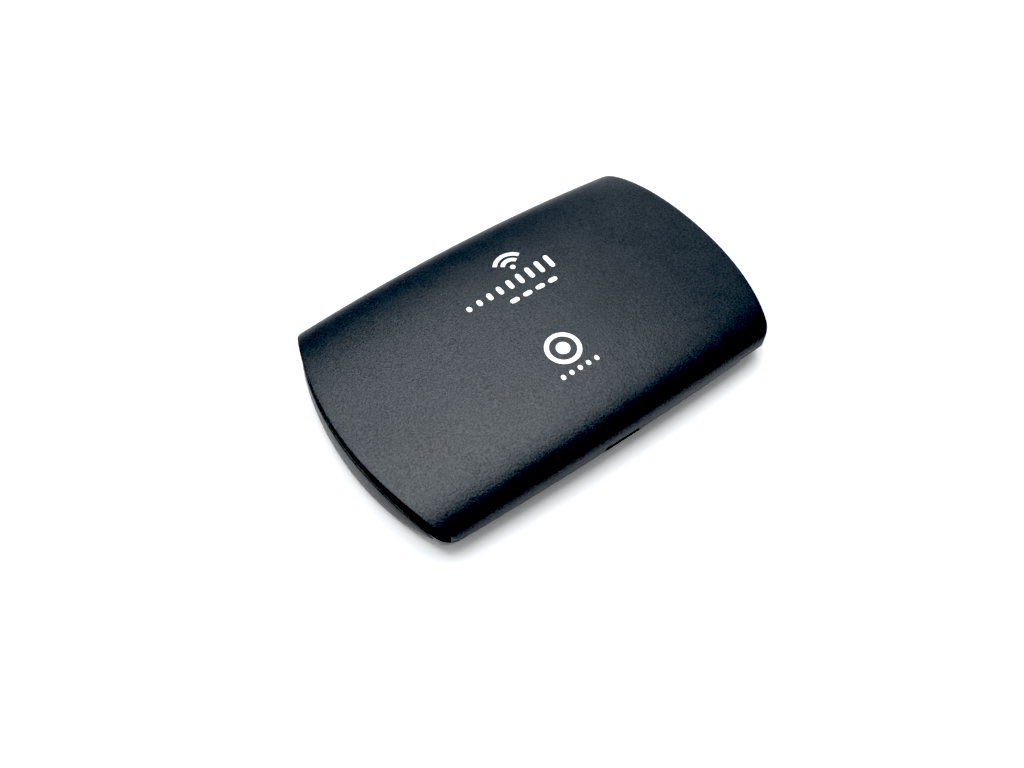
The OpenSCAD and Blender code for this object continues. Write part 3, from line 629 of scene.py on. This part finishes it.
def back_cover():
    outer_plan, inner_plan = Outline(), Outline(COVER_WALL, COVER_WALL)
    y_out, z_out = back_section(outer_plan, 0)
    y_in, z_in = back_section(inner_plan, COVER_WALL)
    steps = mirrored(even_steps(lambda t: np.stack([y_out(t, 0), z_out(t, 0)], 1), SECTION_STEPS))
    outer = loft_grid(steps, y_out, z_out, outer_plan.end_x, 0.28, LENGTH_STEPS)
    rim_plan = Outline(0, 0.02)

    def inner_end(y):
        skirt = skirt_share(y)
        return rim_plan.end_x(y) * (1 - skirt) + inner_plan.end_x(y) * skirt

    inner = loft_grid(steps, y_in, z_in, inner_end, 0.05, LENGTH_STEPS)
    edge = boundary(*outer.shape[:2])
    a = outer[edge[:, 0], edge[:, 1]]
    d = inner[edge[:, 0], edge[:, 1]]
    skirt = skirt_share(a[:, 1])
    lip = np.minimum(a[:, 2], d[:, 2] - 0.02)
    foot = lip * (1 - skirt) + COVER_FOOT * skirt
    inward = d[:, :2] - a[:, :2]
    reach = np.linalg.norm(inward, axis=1)[:, None]
    inward = np.where(reach > 1e-6, inward / np.maximum(reach, 1e-6), 0)
    soft = np.minimum(0.14, reach * 0.4)
    rims = []
    for k in range(5):
        t = math.pi / 2 * k / 4
        xy = a[:, :2] + inward * soft * (1 - math.cos(t))
        rims.append(np.column_stack([xy, foot + (soft * (1 - math.sin(t)))[:, 0]]))
    rims[0][:, 2] = np.minimum(rims[0][:, 2], a[:, 2])
    rims.append(np.column_stack([d[:, :2], foot]))
    obj = closed_shell("back_cover_shell", outer, rims, inner)
    for x0, x1 in FOOT_RELIEFS:
        middle = (x0 + x1) / 2
        back = RELIEF_DEPTH - outer_plan.half_width(middle)
        cut(obj, prism("relief", rounded_rect(x1 - x0, 1.3, 0.5, (middle, SEAM)), -40, back, "y"))
    lugs = [block("lug", x - 3, x + 3, s * LUG_Y - 0.62, s * LUG_Y + 0.5, 6.65, 7.5, 0.12)
            for x in LUG_X for s in (-1, 1)]
    cut(obj, *lugs, operation="UNION")
    piece(obj, "cover", "cover_plastic", COVER_MAT, "back_cover")
    obj.data.materials.append(SHADE_BLACK_MAT)
    # Painted shade: the cover's end faces, its end skirts and its foot reliefs turn near-black
    for face in obj.data.polygons:
        x, y, z = (v / MM for v in face.center)
        at_end = abs(x) > outer_plan.end_x(y) - 0.05 and z < cover_z(x, y) - 0.22
        inset = outer_plan.half_width(x) + y
        in_relief = 0.12 < inset < 0.6 and z < SEAM + 0.8 and any(x0 < x < x1 for x0, x1 in FOOT_RELIEFS)
        if in_relief or (at_end and (abs(y) < OPEN_END_Y or abs(face.normal.x) > 0.5)):
            face.material_index = 1
    return obj


# ---------------------------------------------------------------- front shell

def belly_section(outline, floor, top):
    """Section of the front as functions of a share s from -1 to 1 and x, from its flat at floor up to top."""
    share = 0.3
    turn = math.acos(((SEAM - top) / (SEAM - floor)) ** (FRONT_SQUARE / 2))

    def split(s):
        side = np.clip((np.abs(s) - share) / (1 - share), 0, 1)
        return side * turn, np.minimum(np.abs(s) / share, 1)

    def y_at(s, x):
        a, flat = split(s)
        rolled = (outline.half_width(x) - FRONT_FLAT) * np.sin(a) ** (2 / FRONT_SQUARE)
        return np.sign(s) * (FRONT_FLAT * flat + rolled)

    def z_at(s, x):
        a, _ = split(s)
        return SEAM - (SEAM - floor) * np.maximum(np.cos(a), 0) ** (2 / FRONT_SQUARE) + 0 * x

    return y_at, z_at


def trim_swell(y):
    """Share of its full height that the end trim has at y."""
    return (1 - np.clip(np.abs(y) / TRIM_HALF, 0, 1) ** 2.4) ** 0.8


def trim_low(y):
    return TRIM_TIP - (TRIM_TIP - TRIM_LOW) * trim_swell(y)


def trim_high(y):
    return TRIM_TIP + (TRIM_TOP - TRIM_TIP) * trim_swell(y)


def trim_outline(grow=0.0, count=120):
    """Long oval of the end trim, as (y, z) points."""
    half = TRIM_HALF - TRIM_BLUNT + grow
    y = np.linspace(-half, half, count)
    return list(zip(y, trim_low(y) - grow)) + list(zip(y[::-1], trim_high(y)[::-1] + grow))


def arc_x(inset):
    """The end's arc, taken in by inset, as x over y."""
    return lambda y: END_CENTRE[0] + np.sqrt((END_R - inset) ** 2 - np.square(y))


def trim_cutter(side):
    """Recess of an end trim: its outline, outside an arc."""
    pts = trim_outline(TRIM_SEAT_GAP)
    n = len(pts)
    inner = arc_x(TRIM_DEPTH)(np.array([p[0] for p in pts]))
    verts = [(side * x, p[0], p[1]) for x, p in zip(inner, pts)] + [(side * (HALF_L + 6), *p) for p in pts]
    strip = n // 2
    faces = [[k, (k + 1) % n, n + (k + 1) % n, n + k] for k in range(n)]
    for k in range(strip - 1):
        faces.append([k, n - 1 - k, n - 2 - k, k + 1])
        faces.append([n + k, n + k + 1, 2 * n - 2 - k, 2 * n - 1 - k])
    return make_object("trim_seat", verts, faces)


def front_shell():
    outer_plan = Outline()
    inner_plan = Outline(SHELL_END_WALL, SHELL_END_WALL)
    soft = 0.16
    top = SEAM - soft
    y_out, z_out = belly_section(outer_plan, 0, top)
    y_in, z_in = belly_section(inner_plan, SHELL_WALL, SEAM)
    steps = mirrored(even_steps(lambda t: np.stack([y_out(t, 0), z_out(t, 0)], 1), SECTION_STEPS))
    outer = loft_grid(steps, y_out, z_out, outer_plan.end_x, 0.45, LENGTH_STEPS,
                      sink_share=lambda z: z / top - 1)
    inner = loft_grid(steps, y_in, z_in, inner_plan.end_x, 0.05, LENGTH_STEPS,
                      sink_share=lambda z: z / SEAM - 1)
    edge = boundary(*outer.shape[:2])
    a = outer[edge[:, 0], edge[:, 1]]
    d = inner[edge[:, 0], edge[:, 1]]
    inward = d[:, :2] - a[:, :2]
    inward /= np.linalg.norm(inward, axis=1)[:, None]
    rims = []
    for k in range(5):
        t = math.pi / 2 * k / 4
        rims.append(np.column_stack([a[:, :2] + inward * soft * (1 - math.cos(t)),
                                     np.full(len(a), SEAM - soft * (1 - math.sin(t)))]))
    rims.append(np.column_stack([d[:, :2], np.full(len(a), SEAM)]))
    obj = closed_shell("front_shell_body", outer, rims, inner)
    mouth = prism("mouth", rounded_rect(USB_W, USB_H, 0.7, (0, USB_Z)), -40, -24, "y")
    notch = block("notch", PRY_X0, PRY_X1, -40, -28.35, PRY_Z, 9, 0.5)
    seat = plate("lens_seat", stadium(LENS_R + 0.1, LENS_HALF), -2, 0.75, 0.1)
    windows = [block("window", x - 1.4, x + 1.4, -1.4, 1.4, 0.3, 2) for x in LIGHT_X]
    slots = [block("slot", HALF_L - 6, HALF_L + 2, y - 5.6, y + 5.6, 2.3, 8) for y in (-BUTTON_Y, BUTTON_Y)]
    cut(obj, trim_cutter(1), trim_cutter(-1), mouth, notch, seat)
    cut(obj, *windows, *slots)
    piece(obj, "base", "gloss_black", GLOSS_MAT, "front_shell")
    obj.data.materials.append(SHADE_BLACK_MAT)
    # Painted shade: the faces inside the USB mouth and the pry notch turn near-black
    for face in obj.data.polygons:
        x, y, z = (v / MM for v in face.center)
        in_mouth = abs(x) < USB_W / 2 + 0.02 and z > USB_Z - USB_H / 2 - 0.02
        in_notch = PRY_X0 - 0.02 < x < PRY_X1 + 0.02 and z > PRY_Z - 0.02
        if -outer_plan.half_width(x) < y < -25 and (in_mouth or in_notch) and z < SEAM - 0.01:
            face.material_index = 1
    return obj


# ---------------------------------------------------------------- ends

def fillet_steps(low, high, fillet, count, fine=5):
    """Even steps with extra ones close to both ends."""
    turn = fillet * (1 - np.cos(np.linspace(0, math.pi / 2, fine)))
    middle = np.linspace(low + fillet, high - fillet, count)[1:-1]
    return np.concatenate([low + turn, middle, (high - turn)[::-1]])


def curved_plate(name, side, y, share, low, high, face_x, back_x, fillet):
    """Closed plate on an end: face_x(y, share) is its crowned face, rounded over at its edges by fillet."""
    gy, gt = np.meshgrid(y, share, indexing="ij")
    z0, z1 = low(gy), high(gy)
    gz = z0 + (z1 - z0) * gt
    gap = np.minimum(np.minimum(gz - z0, z1 - gz), y[-1] - np.abs(gy))
    near = np.clip(gap / fillet, 0, 1)
    x = face_x(gy, gt) - fillet * (1 - np.sqrt(1 - (1 - near) ** 2))
    outer = np.stack([side * x, gy, gz], 2)
    inner = np.stack([side * back_x(gy), gy, gz], 2)
    return closed_shell(name, outer, [], inner, 40)


def end_trim(name, side):
    half = TRIM_HALF - TRIM_BLUNT
    y = fillet_steps(-half, half, 0.3, 90)
    share = [0, 0.008, 0.02, 0.04, 0.07, *np.linspace(0.1, 0.9, 25), 0.93, 0.96, 0.98, 0.992, 1]
    edge = arc_x(0.05)

    def face(gy, gt):
        crown = 1 - np.abs(2 * gt - 1) ** 2.2
        tip = 1 - np.abs(gy / TRIM_HALF) ** 4
        return edge(gy) + (BULGE + 0.05) * (0.35 + 0.65 * crown) * (0.2 + 0.8 * tip)

    obj = curved_plate(name, side, y, share, trim_low, trim_high, face, arc_x(0.8), 0.22)
    if side > 0:
        outlines = [rounded_rect(9.3, 2.7, 1.34, (y, BUTTON_Z), 10) for y in (-BUTTON_Y, BUTTON_Y)]
        cut(obj, *[prism("hole", outline, HALF_L - 6, HALF_L + 3, "x") for outline in outlines])
    return obj


def end_band(name, side):
    y = fillet_steps(-BAND_HALF, BAND_HALF, 0.15, 80)
    share = [0, 0.01, 0.03, 0.06, *np.linspace(0.1, 0.9, 12), 0.94, 0.97, 0.99, 1]
    under = Outline(COVER_WALL + 0.1, 0)
    face = arc_x(BAND_INSET)

    def high(gy):
        return cover_z(face(gy), gy, COVER_WALL + 0.1, under)

    def low(gy):
        return np.maximum(trim_high(gy) + TRIM_SEAT_GAP, SEAM + 0.05)

    return curved_plate(name, side, y, share, low, high, lambda gy, gt: face(gy), arc_x(BAND_DEPTH), 0.12)


# ---------------------------------------------------------------- prints

def conformed(name, rows, height=PRINT_RISE, depth=INK_DEPTH, surface=cover_z, ring=False):
    """Thin print laid on a surface: rows is a grid of (x, y) points, closed on itself where it is a ring."""
    xy = np.array(rows, float)
    z = surface(xy[..., 0], xy[..., 1])
    top = np.dstack([xy, np.minimum(z + height, THICK)])
    low = np.dstack([xy, z - depth])
    if not ring:
        return closed_shell(name, top, [], low, 50)
    m, n = xy.shape[:2]
    faces = []
    for i in range(m - 1):
        for j in range(n):
            q = [i * n + j, (i + 1) * n + j, (i + 1) * n + (j + 1) % n, i * n + (j + 1) % n]
            faces += [q, [k + m * n for k in q[::-1]]]
    for i in (0, m - 1):
        for j in range(n):
            a, b = i * n + j, i * n + (j + 1) % n
            faces.append([a, b, b + m * n, a + m * n])
    return make_object(name, np.concatenate([top.reshape(-1, 3), low.reshape(-1, 3)]), faces, 50)


def bar_rows(x, y0, y1, w, steps=16):
    """Rounded vertical bar as a grid of points."""
    r = w / 2
    rows = []
    for t in np.linspace(-1, 1, 9):
        line = []
        for k in np.linspace(0, 1, steps):
            bow = r * math.sqrt(max(0.0, 1 - t * t))
            line.append((x + t * r, (y0 + r - bow) * (1 - k) + (y1 - r + bow) * k))
        rows.append(line)
    return rows


def dash_rows(x0, x1, y, w):
    """Rounded bar lying along X."""
    return [[(b, a) for a, b in row] for row in bar_rows(y, x0, x1, w)]


def arc_rows(cx, cy, r0, r1, a0, a1, steps=60, whole=False):
    """Arc between two radii and two angles as a grid of points."""
    angles = np.linspace(a0, a1, steps, endpoint=not whole)
    return [[(cx + r * math.cos(a), cy + r * math.sin(a)) for a in angles] for r in np.linspace(r0, r1, 5)]


def ring_rows(cx, cy, r0, r1, steps=60):
    return arc_rows(cx, cy, r0, r1, 0, 2 * math.pi, steps, True)


def joined(name, parts, body, slot, material):
    """Several small meshes as one piece."""
    bm = bmesh.new()
    for part in parts:
        bm.from_mesh(part.data)
        bpy.data.objects.remove(part)
    mesh = bpy.data.meshes.new(name)
    bm.to_mesh(mesh)
    bm.free()
    obj = bpy.data.objects.new(name, tidy_mesh(mesh, 50))
    bpy.context.scene.collection.objects.link(obj)
    return piece(obj, body, slot, material)


def cover_prints():
    """Generic white prints: radio arcs over rising bars and dashes, and a ring over a row of dots."""
    arcs_x, arcs_y = 4.3, 14.0
    ring_x, ring_y = 0.1, -9.4
    low, high = math.radians(35), math.radians(145)
    marks = [conformed("bar", bar_rows(-9.9 + 2.7 * k, 9.0, 10.4 + 0.3 * k, 1.15)) for k in range(9)]
    marks += [conformed("dash", dash_rows(x, x + 2.2, 6.2, 1.15)) for x in (-1.8, 1.5, 4.8, 8.1)]
    marks += [conformed("arc", arc_rows(arcs_x, arcs_y, r, r + 0.95, low, high)) for r in (1.7, 3.4)]
    marks.append(conformed("dot", ring_rows(arcs_x, arcs_y, 0.02, 0.6, 24), ring=True))
    joined("print_bars", marks, "cover", "cover_plastic", INK_MAT)
    marks = [conformed("ring", ring_rows(ring_x, ring_y, 2.9, 3.9), ring=True)]
    marks.append(conformed("dot", ring_rows(ring_x, ring_y, 0.02, 1.5, 32), ring=True))
    marks += [conformed("line", bar_rows(x, -15.7, -14.5, 1.0, 8)) for x in (-4.1, -2.0, 0.1, 2.2, 4.3)]
    joined("print_ring", marks, "cover", "cover_plastic", INK_MAT)


def lens_icons():
    """Generic symbols over the four indicator lights: cell, radio arcs, rising bars and a ring."""
    def flat(name, rows, ring=False):
        return conformed(name, rows, INK_DEPTH, PRINT_RISE, lambda x, y: LENS_FACE + 0 * x, ring)

    cell_x, radio_x, bars_x, ring_x = LIGHT_X
    low, high = math.radians(45), math.radians(135)
    marks = [flat("frame", dash_rows(cell_x - 1.9, cell_x + 1.7, y, 0.28)) for y in (-3.9, -5.7)]
    marks += [flat("frame", bar_rows(x, -5.8, -3.8, 0.28)) for x in (cell_x - 1.8, cell_x + 1.6)]
    marks += [flat("charge", bar_rows(cell_x - 1.1 + 0.7 * k, -5.3, -4.3, 0.36)) for k in range(3)]
    marks += [flat("arc", arc_rows(radio_x, -5.8, r, r + 0.3, low, high)) for r in (0.8, 1.5, 2.2)]
    marks.append(flat("dot", ring_rows(radio_x, -5.6, 0.02, 0.35, 20), ring=True))
    marks += [flat("bar", bar_rows(bars_x - 1.2 + 0.8 * k, -5.8, -5.2 + 0.45 * k, 0.45)) for k in range(4)]
    marks.append(flat("ring", ring_rows(ring_x, -4.8, 0.8, 1.1), ring=True))
    marks.append(flat("dot", ring_rows(ring_x, -4.8, 0.02, 0.35, 20), ring=True))
    joined("lens_icons", marks, "base", "lens_black", ICON_MAT)
    windows = [flat("window", ring_rows(x, 0, 0.02, 1.0, 28), ring=True) for x in LIGHT_X]
    joined("lens_windows", windows, "base", "light_guide", SOFT_INK_MAT)


def printer(node):
    """A node's box in plan, in millimetres, and a function that prints on its flat top."""
    corners = np.array([list(c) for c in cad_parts[node].bound_box]) / MM
    (x0, y0, _), (x1, y1, top) = corners.min(axis=0), corners.max(axis=0)
    return x0, x1, y0, y1, lambda rows: conformed("mark", rows, PRINT_RISE, 0.02, lambda x, y: top + 0 * x)


def frame_rows(x0, x1, y0, y1, w):
    """Four bars round a rectangle."""
    sides = [dash_rows(x0, x1, y, w) for y in (y0 + w / 2, y1 - w / 2)]
    return sides + [bar_rows(x, y0, y1, w) for x in (x0 + w / 2, x1 - w / 2)]


def inside_prints():
    """Generic print on the battery and its bay label: frames, rows of dashes and a pattern of stripes."""
    x0, x1, y0, y1, on_wrap = printer("battery_wrap")
    rows = frame_rows(x0 + 3, x1 - 3, y0 + 3, y1 - 3, 0.25)
    for k, count in enumerate((7, 8, 6, 8, 4)):
        rows += [dash_rows(x0 + 7 + 3.4 * i, x0 + 9.6 + 3.4 * i, y1 - 7 - 3 * k, 0.7) for i in range(count)]
    rows += frame_rows(x1 - 13, x1 - 6, y0 + 6, y0 + 11, 0.25)
    rows += [bar_rows(x0 + 7 + 1.15 * i, y0 + 6, y0 + 11, 0.3 + 0.25 * (i * 7 % 3)) for i in range(14)]
    joined("battery_print", [on_wrap(row) for row in rows], "battery", "battery_film", SOFT_INK_MAT)

    x0, x1, y0, y1, on_label = printer("bay_label")
    rows = frame_rows(x0 + 1, x1 - 1, y0 + 1, y1 - 1, 0.2)
    rows += [bar_rows(x0 + 3 + 0.9 * i, y0 + 2.5, y0 + 7, 0.25 + 0.2 * (i * 5 % 3)) for i in range(20)]
    rows += [dash_rows(x0 + 3 + 2.6 * i, x0 + 5 + 2.6 * i, y1 - 3 - 2.2 * k, 0.55)
             for k in range(3) for i in range(8 - 2 * k)]
    joined("label_print", [on_label(row) for row in rows], "base", "label_paper", DARK_INK_MAT)


# ---------------------------------------------------------------- stage, light and camera

def stage(reach=3.0, drop=2e-5):
    mesh = bpy.data.meshes.new("floor")
    corners = [(x * reach, y * reach, -drop) for x, y in ((-1, -1), (1, -1), (1, 1), (-1, 1))]
    mesh.from_pydata(corners, [], [(0, 1, 2, 3)])
    floor = bpy.data.objects.new("floor", mesh)
    bpy.context.scene.collection.objects.link(floor)
    mat, tree, bsdf, coord = shader("floor_paper")
    tone = blend_colour(tree, noise(tree, coord, 90, 3), (0.84, 0.84, 0.84), (0.87, 0.86, 0.855))
    tree.links.new(tone, bsdf.inputs["Base Color"])
    bsdf.inputs["Roughness"].default_value = 0.7
    bsdf.inputs["Specular IOR Level"].default_value = 0.2
    mesh.materials.append(mat)


def area_light(name, at, target, size, power, colour=(1, 1, 1)):
    data = bpy.data.lights.new(name, "AREA")
    data.shape = "RECTANGLE"
    data.size, data.size_y = size
    data.energy = power
    data.color = colour
    obj = bpy.data.objects.new(name, data)
    obj.location = at
    direction = Vector(target) - Vector(at)
    obj.rotation_euler = direction.to_track_quat("-Z", "Y").to_euler()
    bpy.context.scene.collection.objects.link(obj)


def light():
    area_light("softbox_top", (0.02, 0.13, 0.5), (0.02, 0.10, 0), (0.56, 0.48), 4.1, (0.96, 0.98, 1.0))
    area_light("softbox_side", (-0.40, -0.20, 0.42), (0, 0, 0), (0.36, 0.36), 1.0, (1.0, 0.98, 0.96))
    area_light("softbox_fill", (0.50, 0.30, 0.10), (0, 0, 0.005), (0.4, 0.2), 0.55, (0.98, 0.99, 1.0))
    world = bpy.data.worlds.new("room")
    bpy.context.scene.world = world
    world.use_nodes = True
    world.node_tree.nodes["Background"].inputs["Color"].default_value = (0.9, 0.95, 1.0, 1)
    world.node_tree.nodes["Background"].inputs["Strength"].default_value = 0.55
    look = bpy.context.scene.view_settings
    look.view_transform = "Standard"
    look.use_curve_mapping = True
    look.curve_mapping.black_level = (0.1, 0.1, 0.1)      # the photograph's crushed dark tones
    look.curve_mapping.update()


def camera(azimuth=-36.714, elevation=56.574, roll=1.394, distance=0.19203,
           target=(-0.010326, -0.006356, 0.006)):
    a, e, r = (math.radians(v) for v in (azimuth, elevation, roll))
    back = Vector((math.sin(a) * math.cos(e), -math.cos(a) * math.cos(e), math.sin(e)))
    level = Vector((math.cos(a), math.sin(a), 0))
    right = level * math.cos(r) + back.cross(level) * math.sin(r)
    up = back.cross(right)
    data = bpy.data.cameras.new("camera")
    data.sensor_width = 36.0
    data.lens = 32.516
    data.clip_start = 0.005
    obj = bpy.data.objects.new("camera", data)
    rows = [[right[i], up[i], back[i], (Vector(target) + back * distance)[i]] for i in range(3)]
    obj.matrix_world = Matrix([*rows, [0, 0, 0, 1]])
    bpy.context.scene.collection.objects.link(obj)
    bpy.context.scene.camera = obj


def build():
    for name in NODE_MATERIALS:
        finish_node(name)
    back_cover()
    front_shell()
    piece(end_trim("left_trim", -1), "base", "trim_grey", TRIM_MAT, "left_end_trim")
    piece(end_trim("right_trim", 1), "base", "trim_grey", TRIM_MAT, "right_end_trim")
    piece(end_band("left_band", -1), "base", "gloss_black", BAND_MAT, "left_end_band")
    piece(end_band("right_band", 1), "base", "gloss_black", BAND_MAT, "right_end_band")
    lens = plate("indicator_lens", stadium(LENS_R, LENS_HALF), LENS_FACE, 0.65, 0.12)
    piece(lens, "base", "lens_black", LENS_MAT, "front_lens")
    lens_icons()
    cover_prints()
    inside_prints()


build()
stage()
light()
camera()
